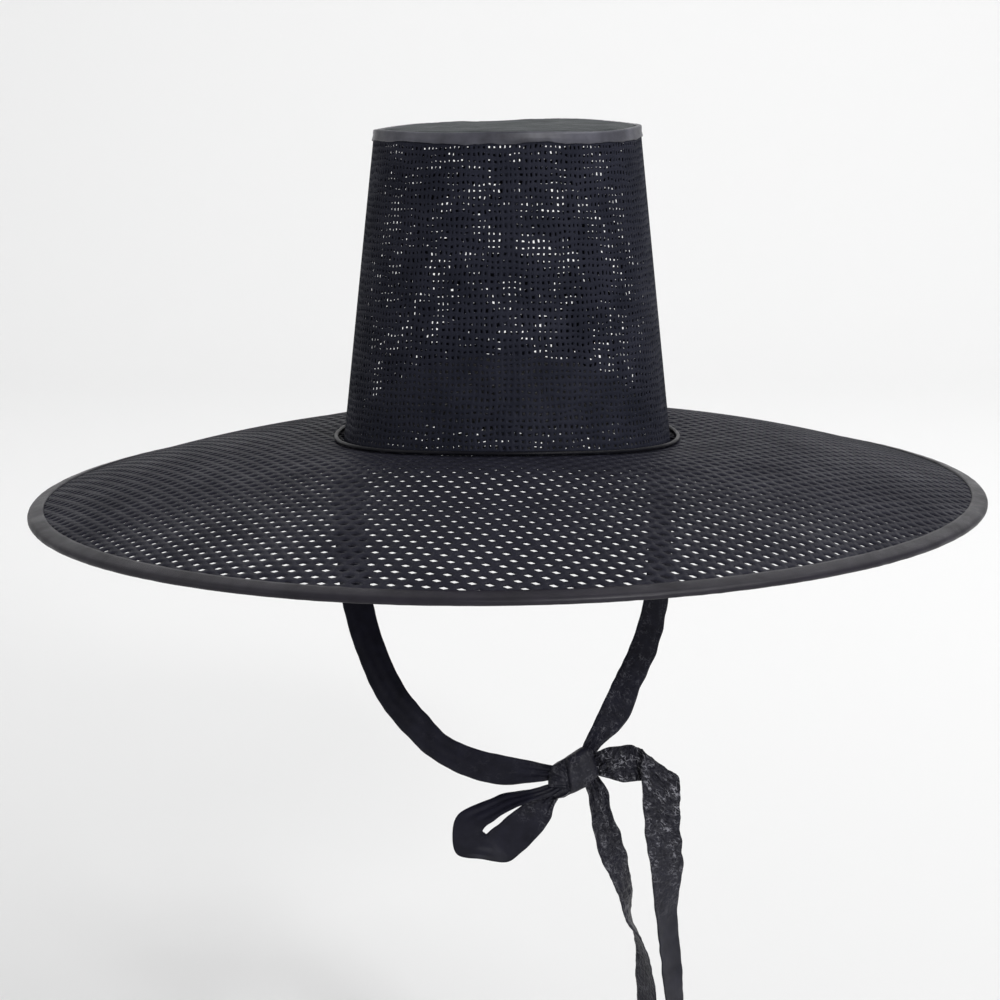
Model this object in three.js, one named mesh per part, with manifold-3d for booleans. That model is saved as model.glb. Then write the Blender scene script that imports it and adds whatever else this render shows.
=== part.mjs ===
// A gat: a stiff, wide-brimmed hat of net with a tall tapering crown, bound edges and ribbon chin straps.
// Millimetres, +Z up, the front towards -Y. The origin is on the crown's axis, in the plane of the ring
// that lies where crown and brim meet.
import * as THREE from 'three';
import { mergeVertices } from 'three/addons/utils/BufferGeometryUtils.js';
import Module from 'manifold-3d';

const wasm = await Module();
wasm.setup();

// Crown
const CROWN_HEIGHT = 153.9;
const CROWN_TOP_RADIUS = 65.7;
const CROWN_BASE_RADIUS = 82.1;
const CROWN_WALL = 1;
const TOP_CLOTH = 1;
const FOOT_WIDTH = 6;
const FOOT_WALL = 1;

// Tape round the crown's upper edge
const TOP_TAPE_DROP = 4.4;
const TOP_TAPE_LAP = 3;
const TOP_TAPE_WALL = 0.9;

// Soft cap inside the crown
const CAP_HEIGHT = 40;
const CAP_WALL = 1;
const CAP_GATHER = 2.4;
const CAP_GATHERS = 9;

// Ring
const RING_WIRE = 2.2;
const RING_STANDOFF = 3;

// Brim and the tape rolled round its edge
const BRIM_RADIUS = 240;
const BRIM_DROP = 28.8;
const BRIM_WALL = 1;
const EDGE_TAPE_WIDTH = 8;
const EDGE_TAPE_WALL = 1;

// Openings of the brim's net
const NET_PITCH = 36;
const NET_GAP = 19;
const NET_TURN = -14;

// Ribbon straps, knot and bow
const RIBBON_WIDTH = 15.5;
const RIBBON_WALL = 1;
const STRAP_INSET = 2.1;
const KNOT_RIGHT = 32;
const KNOT_FRONT = 86;
const KNOT_DROP = 151;
const KNOT_REACH = 14.5;
const KNOT_THICKNESS = 11;
const KNOT_ROUNDING = 3;
const LOOP_REACH = 60;
const FOLD_REACH = 50;
const TAIL_DROP = 122;

// Fits and the soft settling of the whole hat
const CLEARANCE = 0.3;
const SEAT_LIFT = 5.5;
const SEAT_LIFT_REACH = 64;
const TOP_WAVE = 0.9;
const SIDE_TILT = 0.9;
const ROUND_STEPS = 60;

// Sizes that follow from those above
const ringRadius = CROWN_BASE_RADIUS + RING_STANDOFF + RING_WIRE / 2;
const brimSeat = -RING_WIRE / 2 - CLEARANCE;
const footTop = brimSeat - BRIM_WALL - CLEARANCE;
const footBottom = footTop - FOOT_WALL;
const wallTop = CROWN_HEIGHT - TOP_CLOTH - CLEARANCE;
const footRadius = crownRadius(footTop) + FOOT_WIDTH;
const brimNetRadius = BRIM_RADIUS - EDGE_TAPE_WALL - CLEARANCE;
const knotCentre = new THREE.Vector3(KNOT_RIGHT, -KNOT_FRONT, -KNOT_DROP);

const netCloth = { color: 0x1b1b21, roughness: 0.62, metalness: 0 };
const satinTape = { color: 0x2c2b33, roughness: 0.42, metalness: 0 };
const glossCord = { color: 0x131318, roughness: 0.25, metalness: 0 };
const ribbonCloth = { color: 0x1e1e25, roughness: 0.5, metalness: 0 };
const topCloth = { color: 0x35363d, roughness: 0.55, metalness: 0 };

// The crown's outer radius at a height above the ring's plane.
function crownRadius(height) {
  return THREE.MathUtils.lerp(CROWN_BASE_RADIUS, CROWN_TOP_RADIUS, height / CROWN_HEIGHT);
}

// The brim's upper face: level round the crown, then falling faster and faster to its rim.
function brimHeight(radius) {
  const flatShare = 0.15;
  const curvePower = 1.5;
  const share = (radius - ringRadius) / (BRIM_RADIUS - ringRadius);
  return brimSeat - BRIM_DROP * Math.max(0, (share - flatShare) / (1 - flatShare)) ** curvePower;
}

// How far the worn hat has settled at a point: the straps hold its sides down, so the seat rises
// towards front and back, brim and top lie a little higher on the right, by an angle in degrees, and the
// thin cloth of the top waves round its edge.
function settledLift(x, y, z) {
  const radius = Math.hypot(x, y);
  const angle = Math.atan2(x, -y);
  const heightShare = THREE.MathUtils.clamp(z / CROWN_HEIGHT, 0, 1);
  const past = THREE.MathUtils.smoothstep(radius, ringRadius, ringRadius + SEAT_LIFT_REACH);
  const seatShare = radius < ringRadius ? (radius / ringRadius) ** 2 : 1 - past;
  const seat = SEAT_LIFT * Math.cos(angle) ** 2 * seatShare * (1 - heightShare);
  const ripple = 0.6 * Math.cos(2 * angle + 0.9) + 0.4 * Math.cos(5 * angle - 0.6);
  const edgeShare = Math.min(1, radius / CROWN_TOP_RADIUS) ** 2;
  const topShare = heightShare ** 4;
  const tilt = x * Math.tan(THREE.MathUtils.degToRad(SIDE_TILT)) * (past + topShare);
  return seat + tilt + TOP_WAVE * ripple * edgeShare * topShare;
}

function moveVertices(geometry, move) {
  const point = new THREE.Vector3();
  const positions = geometry.getAttribute('position');
  for (let i = 0; i < positions.count; i += 1) {
    point.fromBufferAttribute(positions, i);
    move(point);
    positions.setXYZ(i, point.x, point.y, point.z);
  }
  return geometry;
}

// A settled round piece, turned from a section of [radius, height] corners listed anticlockwise.
function turned(section) {
  const profile = section.map(([radius, height]) => new THREE.Vector2(radius, height));
  const geometry = new THREE.LatheGeometry(profile, ROUND_STEPS).rotateX(Math.PI / 2);
  return moveVertices(geometry, (point) => {
    point.z += settledLift(point.x, point.y, point.z);
  });
}

function toSolid(geometry) {
  const bare = geometry.clone();
  bare.deleteAttribute('normal');
  bare.deleteAttribute('uv');
  const merged = mergeVertices(bare, 1e-4);
  const vertProperties = new Float32Array(merged.getAttribute('position').array);
  const triVerts = new Uint32Array(merged.getIndex().array);
  return new wasm.Manifold(new wasm.Mesh({ numProp: 3, vertProperties, triVerts }));
}

function toGeometry(solid) {
  const mesh = solid.getMesh();
  const geometry = new THREE.BufferGeometry();
  geometry.setAttribute('position', new THREE.BufferAttribute(mesh.vertProperties, 3));
  geometry.setIndex(new THREE.BufferAttribute(mesh.triVerts, 1));
  geometry.computeVertexNormals();
  return geometry;
}

function cutFrom(geometry, tools) {
  return toGeometry(tools.reduce((solid, tool) => solid.subtract(toSolid(tool)), toSolid(geometry)));
}

function crownWall() {
  return turned([
    [crownRadius(footTop) - CROWN_WALL, footBottom],
    [footRadius, footBottom],
    [footRadius, footTop],
    [crownRadius(footTop), footTop],
    [crownRadius(wallTop), wallTop],
    [crownRadius(wallTop) - CROWN_WALL, wallTop],
    [crownRadius(footTop) - CROWN_WALL, footBottom],
  ]);
}

function crownTop() {
  const under = CROWN_HEIGHT - TOP_CLOTH;
  return turned([
    [0, under],
    [CROWN_TOP_RADIUS, under],
    [CROWN_TOP_RADIUS, CROWN_HEIGHT],
    [0, CROWN_HEIGHT],
  ]);
}

function crownTopBinding() {
  const tapeBottom = CROWN_HEIGHT - TOP_TAPE_DROP;
  const inside = CROWN_TOP_RADIUS + CLEARANCE;
  const insideBottom = crownRadius(tapeBottom) + CLEARANCE;
  const underLap = CROWN_HEIGHT + CLEARANCE;
  const lapEdge = CROWN_TOP_RADIUS - TOP_TAPE_LAP;
  const edgeChamfer = TOP_TAPE_WALL / 2;
  return turned([
    [insideBottom, tapeBottom],
    [insideBottom + TOP_TAPE_WALL, tapeBottom],
    [inside + TOP_TAPE_WALL, underLap + TOP_TAPE_WALL - edgeChamfer],
    [inside + TOP_TAPE_WALL - edgeChamfer, underLap + TOP_TAPE_WALL],
    [lapEdge, underLap + TOP_TAPE_WALL],
    [lapEdge, underLap],
    [inside, underLap],
    [insideBottom, tapeBottom],
  ]);
}

// The cap is a low dome, gathered into soft pleats that die out towards its crown.
function innerCap() {
  const capBottom = footBottom + CLEARANCE;
  const capRadius = crownRadius(0) - CROWN_WALL - CLEARANCE;
  const risingAngles = [0, 18, 42, 66, 90].map((degrees) => THREE.MathUtils.degToRad(degrees));
  const dome = (wall) => risingAngles.map((angle) => [
    (capRadius - wall) * Math.cos(angle),
    capBottom + (CAP_HEIGHT - wall - capBottom) * Math.sin(angle),
  ]);
  const outside = dome(0);
  const inside = dome(CAP_WALL).reverse();
  outside[outside.length - 1][0] = 0;
  inside[0][0] = 0;
  const section = [...inside, ...outside].map(([radius, height]) => [radius, Math.max(height, capBottom)]);
  return moveVertices(turned(section), (point) => {
    const radius = Math.hypot(point.x, point.y);
    const angle = Math.atan2(point.x, -point.y);
    const fold = CAP_GATHER * (0.5 - 0.5 * Math.cos(CAP_GATHERS * angle));
    const keep = radius > 0 ? 1 - (fold * (radius / capRadius) ** 2) / radius : 1;
    point.x *= keep;
    point.y *= keep;
  });
}

function junctionRing() {
  const ring = new THREE.TorusGeometry(ringRadius, RING_WIRE / 2, 6, ROUND_STEPS);
  return moveVertices(ring, (point) => {
    point.z += settledLift(point.x, point.y, 0);
  });
}

// Hexagonal prisms on a straight triangular lattice, one for each opening that fits between the
// crown's foot and the edge tape.
function netOpenings() {
  const corner = NET_GAP / Math.sqrt(3);
  const rim = (NET_PITCH - NET_GAP) / 3;
  const innerLimit = footRadius + corner + rim;
  const outerLimit = BRIM_RADIUS - EDGE_TAPE_WIDTH - corner - rim;
  const turn = THREE.MathUtils.degToRad(NET_TURN);
  const rowStep = (NET_PITCH * Math.sqrt(3)) / 2;
  const height = 2 * BRIM_DROP + 4 * SEAT_LIFT;
  const reach = Math.ceil(BRIM_RADIUS / rowStep);
  const openings = [];
  for (let row = -reach; row <= reach; row += 1) {
    for (let column = -reach; column <= reach; column += 1) {
      const along = (column + (row % 2 ? 0.5 : 0)) * NET_PITCH;
      const centre = new THREE.Vector2(along, row * rowStep).rotateAround(new THREE.Vector2(), turn);
      if (centre.length() > innerLimit && centre.length() < outerLimit) {
        const prism = new THREE.CylinderGeometry(corner, corner, height, 6);
        prism.rotateX(Math.PI / 2).rotateZ(turn).translate(centre.x, centre.y, brimSeat - BRIM_DROP / 2);
        openings.push(prism);
      }
    }
  }
  return openings;
}

function brim() {
  const holeRadius = crownRadius(footTop) + CLEARANCE;
  const tapeRadius = BRIM_RADIUS - EDGE_TAPE_WIDTH;
  const stations = [0, 0.33, 0.67, 1];
  const slope = stations.map((share) => THREE.MathUtils.lerp(footRadius, tapeRadius, share));
  const radii = [holeRadius, ...slope, brimNetRadius];
  const under = radii.map((radius) => [radius, brimHeight(radius) - BRIM_WALL]);
  const upper = radii.map((radius) => [radius, brimHeight(radius)]).reverse();
  return cutFrom(turned([...under, ...upper, under[0]]), netOpenings());
}

// The tape folds over the brim's edge like a narrow U, its turn outermost.
function brimBinding() {
  const inner = BRIM_RADIUS - EDGE_TAPE_WIDTH;
  const slotEnd = brimNetRadius + CLEARANCE;
  const above = (radius, rise) => [radius, brimHeight(radius) + CLEARANCE + rise];
  const below = (radius, fall) => [radius, brimHeight(radius) - BRIM_WALL - CLEARANCE - fall];
  return turned([
    below(inner, EDGE_TAPE_WALL),
    below(slotEnd, EDGE_TAPE_WALL),
    below(BRIM_RADIUS, 0),
    above(BRIM_RADIUS, 0),
    above(slotEnd, EDGE_TAPE_WALL),
    above(inner, EDGE_TAPE_WALL),
    above(inner, 0),
    above(slotEnd, 0),
    below(slotEnd, 0),
    below(inner, 0),
    below(inner, EDGE_TAPE_WALL),
  ]);
}

// A strip of ribbon through a table of rows. right, front and drop are shares of the reach along X, -Y
// and -Z from the start; span is the share of the ribbon's width, lie the angle of its width in the
// front view, and lean the angle by which that width turns away from the viewer, both in degrees.
function ribbon(start, reach, rows) {
  const edges = rows.map(({ right, front, drop, span, lie, lean }) => {
    const centre = new THREE.Vector3(right * reach.x, -front * reach.y, -drop * reach.z).add(start);
    const [turn, tilt] = [lie, lean].map((degrees) => THREE.MathUtils.degToRad(degrees));
    const across = new THREE.Vector3(
      Math.cos(turn) * Math.cos(tilt),
      Math.sin(tilt),
      Math.sin(turn) * Math.cos(tilt),
    ).multiplyScalar((span * RIBBON_WIDTH) / 2);
    return { near: centre.clone().sub(across), far: centre.clone().add(across) };
  });
  const near = new THREE.CatmullRomCurve3(edges.map((edge) => edge.near), false, 'centripetal');
  const far = new THREE.CatmullRomCurve3(edges.map((edge) => edge.far), false, 'centripetal');
  const middle = (share) => near.getPoint(share).add(far.getPoint(share)).multiplyScalar(0.5);
  const strip = new THREE.BoxGeometry(1, 1, 1, 1, 1, 2 * (rows.length - 1));
  return moveVertices(strip, (point) => {
    const share = point.z + 0.5;
    const lower = near.getPoint(share);
    const upper = far.getPoint(share);
    const along = middle(Math.min(1, share + 0.01)).sub(middle(Math.max(0, share - 0.01)));
    const outward = along.cross(upper.clone().sub(lower)).setLength(RIBBON_WALL * point.y);
    point.lerpVectors(lower, upper, point.x + 0.5).add(outward);
  });
}

// The knot: the ribbon wrapped round itself, seen from the front as a slanting seven-sided pad.
function knot(growth) {
  const reach = KNOT_REACH + growth;
  const corners = [
    { right: -0.8, up: 0.16 },
    { right: -0.86, up: -0.52 },
    { right: -0.59, up: -0.98 },
    { right: 0.47, up: -0.46 },
    { right: 0.87, up: -0.05 },
    { right: 0.72, up: 0.49 },
    { right: 0.51, up: 0.99 },
  ];
  const points = corners.map(({ right, up }) => new THREE.Vector2(right * reach, up * reach));
  const outline = new THREE.Shape(points);
  const thickness = KNOT_THICKNESS + 2 * growth;
  const pad = new THREE.ExtrudeGeometry(outline, {
    depth: thickness - 2 * KNOT_ROUNDING,
    bevelThickness: KNOT_ROUNDING,
    bevelSize: KNOT_ROUNDING,
    bevelOffset: -KNOT_ROUNDING,
    bevelSegments: 2,
  });
  pad.translate(0, 0, KNOT_ROUNDING - thickness / 2).rotateX(Math.PI / 2);
  return pad.translate(knotCentre.x, knotCentre.y, knotCentre.z);
}

// Each ribbon runs into the knot and stops a clearance short of it.
function tiedRibbon(start, reach, rows) {
  return cutFrom(ribbon(start, reach, rows), [knot(CLEARANCE)]);
}

const strapStart = new THREE.Vector3(0, 0, footBottom - CLEARANCE);
const strapSpread = CROWN_BASE_RADIUS - STRAP_INSET;
const strapReach = new THREE.Vector3(strapSpread, KNOT_FRONT, KNOT_DROP + strapStart.z);

function strapLeft() {
  return tiedRibbon(strapStart, strapReach, [
    { right: -1, front: 0.02, drop: 0, span: 1, lie: 0, lean: 0 },
    { right: -1, front: 0.09, drop: 0.24, span: 1, lie: 4, lean: 0 },
    { right: -0.945, front: 0.23, drop: 0.52, span: 0.98, lie: 18, lean: 0 },
    { right: -0.845, front: 0.41, drop: 0.68, span: 0.95, lie: 25, lean: 0 },
    { right: -0.706, front: 0.58, drop: 0.81, span: 0.95, lie: 34, lean: 0 },
    { right: -0.562, front: 0.71, drop: 0.884, span: 0.95, lie: 49, lean: 0 },
    { right: -0.416, front: 0.81, drop: 0.947, span: 0.9, lie: 60, lean: 0 },
    { right: -0.205, front: 0.9, drop: 0.988, span: 0.95, lie: 74, lean: 0 },
    { right: -0.036, front: 0.95, drop: 1.001, span: 0.97, lie: 90, lean: 0 },
    { right: 0.144, front: 0.98, drop: 1.001, span: 0.7, lie: 100, lean: 0 },
    { right: 0.3, front: 1, drop: 1, span: 0.42, lie: 103, lean: 0 },
  ]);
}

function strapRight() {
  return tiedRibbon(strapStart, strapReach, [
    { right: 0.975, front: 0.02, drop: 0, span: 0.95, lie: 0, lean: 42 },
    { right: 0.968, front: 0.11, drop: 0.26, span: 0.95, lie: -4, lean: 38 },
    { right: 0.936, front: 0.25, drop: 0.52, span: 0.95, lie: -16, lean: 30 },
    { right: 0.85, front: 0.45, drop: 0.66, span: 0.93, lie: -23, lean: 15 },
    { right: 0.753, front: 0.62, drop: 0.743, span: 0.88, lie: -31, lean: 0 },
    { right: 0.66, front: 0.8, drop: 0.824, span: 0.98, lie: -43, lean: 0 },
    { right: 0.53, front: 0.95, drop: 0.9, span: 0.55, lie: -40, lean: 0 },
    { right: 0.46, front: 1, drop: 0.95, span: 0.4, lie: -36, lean: 0 },
  ]);
}

function bowLoop() {
  const reach = new THREE.Vector3(LOOP_REACH, LOOP_REACH, LOOP_REACH);
  return tiedRibbon(knotCentre, reach, [
    { right: -0.12, front: 0.04, drop: 0.1, span: 0.4, lie: 110, lean: 62 },
    { right: -0.2, front: 0.06, drop: 0.13, span: 0.5, lie: 110, lean: 62 },
    { right: -0.37, front: 0.09, drop: 0.19, span: 0.7, lie: 112, lean: 60 },
    { right: -0.52, front: 0.11, drop: 0.24, span: 0.92, lie: 114, lean: 50 },
    { right: -0.74, front: 0.13, drop: 0.35, span: 1, lie: 110, lean: 33 },
    { right: -0.85, front: 0.13, drop: 0.4, span: 1, lie: 144, lean: 10 },
    { right: -0.86, front: 0.11, drop: 0.48, span: 1.02, lie: 178, lean: 0 },
    { right: -0.84, front: 0.07, drop: 0.57, span: 1.02, lie: 212, lean: -8 },
    { right: -0.73, front: 0.03, drop: 0.61, span: 0.98, lie: 256, lean: -10 },
    { right: -0.56, front: 0.01, drop: 0.6, span: 1, lie: 282, lean: 0 },
    { right: -0.41, front: 0, drop: 0.5, span: 1, lie: 296, lean: 0 },
    { right: -0.31, front: -0.01, drop: 0.37, span: 1, lie: 304, lean: 0 },
    { right: -0.22, front: -0.02, drop: 0.26, span: 0.7, lie: 306, lean: 0 },
    { right: -0.14, front: -0.03, drop: 0.17, span: 0.4, lie: 308, lean: 0 },
  ]);
}

function bowTail() {
  const reach = new THREE.Vector3(FOLD_REACH, KNOT_THICKNESS, TAIL_DROP);
  return tiedRibbon(knotCentre, reach, [
    { right: 0.14, front: 0.1, drop: -0.04, span: 0.6, lie: 90, lean: 0 },
    { right: 0.25, front: 0.15, drop: -0.042, span: 0.8, lie: 91, lean: 0 },
    { right: 0.36, front: 0.4, drop: -0.046, span: 1, lie: 92, lean: 0 },
    { right: 0.5, front: 0.55, drop: -0.048, span: 1.12, lie: 88, lean: 0 },
    { right: 0.65, front: 0.45, drop: -0.026, span: 0.76, lie: 76, lean: 0 },
    { right: 0.77, front: 0.3, drop: 0.008, span: 0.9, lie: 20, lean: 0 },
    { right: 0.826, front: 0.2, drop: 0.07, span: 1.1, lie: 4, lean: 0 },
    { right: 0.868, front: 0.2, drop: 0.196, span: 1.02, lie: 0, lean: 0 },
    { right: 0.918, front: 0.25, drop: 0.394, span: 1, lie: -4, lean: 26 },
    { right: 0.91, front: 0.25, drop: 0.533, span: 1, lie: 0, lean: 46 },
    { right: 0.93, front: 0.2, drop: 0.646, span: 1, lie: 0, lean: 49 },
    { right: 0.972, front: 0.2, drop: 0.806, span: 1, lie: -4, lean: 48 },
    { right: 1.015, front: 0.2, drop: 1, span: 1, lie: -6, lean: 56 },
  ]);
}

function strapTail() {
  const reach = new THREE.Vector3(FOLD_REACH, KNOT_THICKNESS, TAIL_DROP);
  return tiedRibbon(knotCentre, reach, [
    { right: 0.16, front: -0.2, drop: 0.02, span: 0.45, lie: 12, lean: 0 },
    { right: 0.23, front: -0.2, drop: 0.082, span: 0.62, lie: 12, lean: 0 },
    { right: 0.28, front: -0.15, drop: 0.19, span: 0.7, lie: 14, lean: 20 },
    { right: 0.38, front: -0.1, drop: 0.33, span: 0.9, lie: 18, lean: 25 },
    { right: 0.48, front: -0.1, drop: 0.454, span: 0.92, lie: 10, lean: 56 },
    { right: 0.53, front: -0.1, drop: 0.53, span: 0.95, lie: 6, lean: 67 },
    { right: 0.55, front: -0.1, drop: 0.605, span: 0.95, lie: 4, lean: 80 },
    { right: 0.64, front: -0.1, drop: 0.69, span: 0.95, lie: 4, lean: 103 },
    { right: 0.69, front: -0.1, drop: 0.77, span: 0.95, lie: 4, lean: 112 },
    { right: 0.71, front: -0.1, drop: 0.835, span: 1, lie: 0, lean: 119 },
    { right: 0.745, front: -0.1, drop: 1, span: 1, lie: -2, lean: 127 },
  ]);
}

const pieces = [
  { name: 'crown_wall', shape: crownWall(), finish: netCloth },
  { name: 'crown_top', shape: crownTop(), finish: topCloth },
  { name: 'crown_top_binding', shape: crownTopBinding(), finish: satinTape },
  { name: 'inner_cap', shape: innerCap(), finish: netCloth },
  { name: 'junction_ring', shape: junctionRing(), finish: glossCord },
  { name: 'brim', shape: brim(), finish: netCloth },
  { name: 'brim_binding', shape: brimBinding(), finish: satinTape },
  { name: 'strap_left', shape: strapLeft(), finish: ribbonCloth },
  { name: 'strap_right', shape: strapRight(), finish: ribbonCloth },
  { name: 'strap_knot', shape: knot(0), finish: ribbonCloth },
  { name: 'bow_loop', shape: bowLoop(), finish: ribbonCloth },
  { name: 'bow_tail', shape: bowTail(), finish: ribbonCloth },
  { name: 'strap_tail', shape: strapTail(), finish: ribbonCloth },
];

const group = new THREE.Group();
for (const { name, shape, finish } of pieces) {
  const mesh = new THREE.Mesh(shape, new THREE.MeshStandardMaterial(finish));
  mesh.name = name;
  group.add(mesh);
}

export default group;
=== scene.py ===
# %% [markdown]
# # A gat in black net
# A gat is a stiff hat with a tall crown and a very wide brim. Both are net, so light comes through them,
# and two layers of net seen through each other sparkle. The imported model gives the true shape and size,
# and every piece below is a finer one made in the same place.

import math
import random
from collections import namedtuple

import bmesh
import bpy
from mathutils import Matrix, Vector, noise


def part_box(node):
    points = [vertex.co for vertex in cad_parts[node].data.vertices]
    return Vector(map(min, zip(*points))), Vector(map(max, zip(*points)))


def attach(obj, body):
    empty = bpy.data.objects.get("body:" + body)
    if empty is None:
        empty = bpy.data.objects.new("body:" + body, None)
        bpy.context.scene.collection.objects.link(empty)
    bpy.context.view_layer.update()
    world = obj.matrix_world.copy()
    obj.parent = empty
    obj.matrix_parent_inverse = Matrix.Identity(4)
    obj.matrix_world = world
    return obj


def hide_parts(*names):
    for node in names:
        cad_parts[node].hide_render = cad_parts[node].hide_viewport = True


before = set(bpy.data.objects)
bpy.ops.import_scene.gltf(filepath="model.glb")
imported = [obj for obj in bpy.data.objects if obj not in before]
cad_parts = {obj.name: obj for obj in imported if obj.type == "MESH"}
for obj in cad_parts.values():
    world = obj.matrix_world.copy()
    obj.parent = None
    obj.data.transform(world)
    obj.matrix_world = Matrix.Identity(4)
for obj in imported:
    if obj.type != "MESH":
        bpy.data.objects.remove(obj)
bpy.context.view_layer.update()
scene = bpy.context.scene
MM = 0.001
NOISE_SEED = 11
noise.seed_set(NOISE_SEED)

# %% [markdown]
# ## The camera
# The hat is seen from a little above the brim, so the brim is a flat ellipse and the crown stands on it.
# A long lens from 1.3 m keeps the ellipse true, and the target lies below the brim, which leaves room
# for the ribbons.

# %% Camera
IMAGE_SIDE = 1000
FOCAL_PIXELS = 2558
CAMERA_DISTANCE = 1300 * MM
CAMERA_ELEVATION = math.radians(10.98)
CAMERA_TARGET = Vector((-3.6 * MM, 0, -33.5 * MM))


def make_camera():
    data = bpy.data.cameras.new("camera")
    data.sensor_width = 36
    data.lens = data.sensor_width * FOCAL_PIXELS / IMAGE_SIDE
    camera = bpy.data.objects.new("camera", data)
    scene.collection.objects.link(camera)
    back = Vector((0, -math.cos(CAMERA_ELEVATION), math.sin(CAMERA_ELEVATION)))
    camera.location = CAMERA_TARGET + back * CAMERA_DISTANCE
    camera.rotation_euler = back.to_track_quat("Z", "Y").to_euler()
    return camera


scene.camera = make_camera()
scene.view_settings.view_transform = "Standard"
print("camera lens:", round(scene.camera.data.lens, 1), "mm")

# %% [markdown]
# ## How the hat has settled
# Nothing here is quite level. The ribbons pull the sides of the seat down, so crown and brim meet on a
# gentle saddle, brim and top lie a little higher on the right, and the cloth of the top waves round its
# edge. One function gives that lift for any point, and every piece uses it, so that pieces that touch
# stay together.

# %% Sizes and the settling
CROWN_HEIGHT = 153.9 * MM
CROWN_TOP_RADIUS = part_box("crown_top")[1].x
CROWN_BASE_RADIUS = 82.1 * MM
RING_RADIUS = 86.2 * MM
RING_WIRE = 2.2 * MM
BRIM_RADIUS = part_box("brim_binding")[1].x
BRIM_SEAT = -1.4 * MM
BRIM_DROP = 28.8 * MM
BRIM_FLAT_SHARE = 0.15
BRIM_CURVE_POWER = 1.5
SEAT_LIFT = 5.5 * MM
SEAT_LIFT_REACH = 64 * MM
SIDE_TILT = math.radians(0.9)
TOP_WAVE = 0.9 * MM
Wave = namedtuple("Wave", "depth count phase")
TOP_WAVES = [Wave(0.6, 2, math.pi / 2 + 0.9), Wave(0.4, 5, math.pi / 2 - 0.6)]


def crown_radius(height):
    return CROWN_BASE_RADIUS + (CROWN_TOP_RADIUS - CROWN_BASE_RADIUS) * height / CROWN_HEIGHT


def brim_height(radius):
    share = (radius - RING_RADIUS) / (BRIM_RADIUS - RING_RADIUS)
    bent = max(0.0, (share - BRIM_FLAT_SHARE) / (1 - BRIM_FLAT_SHARE))
    return BRIM_SEAT - BRIM_DROP * bent ** BRIM_CURVE_POWER


def smooth_step(share):
    share = min(1.0, max(0.0, share))
    return share * share * (3 - 2 * share)


def front_angle(point):
    """The angle round the crown's axis, from the front towards the right."""
    return math.atan2(point.x, -point.y)


def waved(waves, angle):
    """The sum of waves of which each goes round the full circle a whole number of times."""
    return sum(wave.depth * math.sin(wave.count * angle + wave.phase) for wave in waves)


def settled_lift(point):
    radius = math.hypot(point.x, point.y)
    angle = front_angle(point)
    height_share = min(1.0, max(0.0, point.z / CROWN_HEIGHT))
    past = smooth_step((radius - RING_RADIUS) / SEAT_LIFT_REACH)
    seat_share = (radius / RING_RADIUS) ** 2 if radius < RING_RADIUS else 1 - past
    seat = SEAT_LIFT * math.cos(angle) ** 2 * seat_share * (1 - height_share)
    ripple = waved(TOP_WAVES, angle)
    edge_share = min(1.0, radius / CROWN_TOP_RADIUS) ** 2
    top_share = height_share ** 4
    tilt = point.x * math.tan(SIDE_TILT) * (past + top_share)
    return seat + tilt + TOP_WAVE * ripple * edge_share * top_share


print("brim radius:", round(BRIM_RADIUS / MM), "mm")
print("crown top radius:", round(CROWN_TOP_RADIUS / MM, 1), "mm")

# %% [markdown]
# ## Helpers for meshes
# Each piece starts as a bmesh. `finish_piece` makes it an object, lets it ride on the hat's one body,
# hides the imported solids that it stands for and gives it a material.

# %% Mesh helpers
MERGE_REACH = 0.01 * MM


def settle(bm):
    for vertex in bm.verts:
        vertex.co.z += settled_lift(vertex.co)


def finish_piece(name, bm, material, nodes=(), thickness=0.0, outward=True):
    """Makes an object of a bmesh. An open sheet that already faces the right way says outward=False."""
    if outward:
        bmesh.ops.recalc_face_normals(bm, faces=bm.faces[:])
    for face in bm.faces:
        face.smooth = True
    mesh = bpy.data.meshes.new(name)
    bm.to_mesh(mesh)
    bm.free()
    piece = bpy.data.objects.new(name, mesh)
    scene.collection.objects.link(piece)
    mesh.materials.append(MATERIALS[material])
    if thickness:
        wall = piece.modifiers.new("wall", "SOLIDIFY")
        wall.thickness = thickness
        wall.offset = -1
    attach(piece, "root")
    if nodes:
        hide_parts(*nodes)
    print(f"{name}: {len(mesh.polygons)} faces")
    return piece


def spun(section, steps):
    """Spins a section of (radius, height) points round the axis. A closed one repeats its first point."""
    bm = bmesh.new()
    closed = section[0] == section[-1]
    points = section[:-1] if closed else section
    verts = [bm.verts.new((radius, 0, height)) for radius, height in points]
    pairs = list(zip(verts, verts[1:] + verts[:1])) if closed else list(zip(verts, verts[1:]))
    edges = [bm.edges.new(pair) for pair in pairs]
    bmesh.ops.spin(
        bm, geom=verts + edges, cent=(0, 0, 0), axis=(0, 0, 1), angle=math.tau, steps=steps, use_merge=True
    )
    bmesh.ops.remove_doubles(bm, verts=bm.verts[:], dist=MERGE_REACH)
    return bm


# %% [markdown]
# ## Helpers for materials
# A material is a Principled BSDF whose colour, roughness and bump come from textures on the object's
# own coordinates. Wiring nodes by hand takes three lines each, so `add_node` makes a node, sets its
# values and links its inputs at once. Effects that several cloths share are node groups.

# %% Shader helpers
def add_node(tree, kind, inputs=None, **settings):
    node = tree.nodes.new(kind)
    for key, value in settings.items():
        setattr(node, key, value)
    for key, value in (inputs or {}).items():
        if isinstance(value, bpy.types.NodeSocket):
            tree.links.new(value, node.inputs[key])
        else:
            node.inputs[key].default_value = value
    return node


def math_node(tree, operation, first, second=0.0):
    return add_node(tree, "ShaderNodeMath", {0: first, 1: second}, operation=operation).outputs[0]


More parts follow.
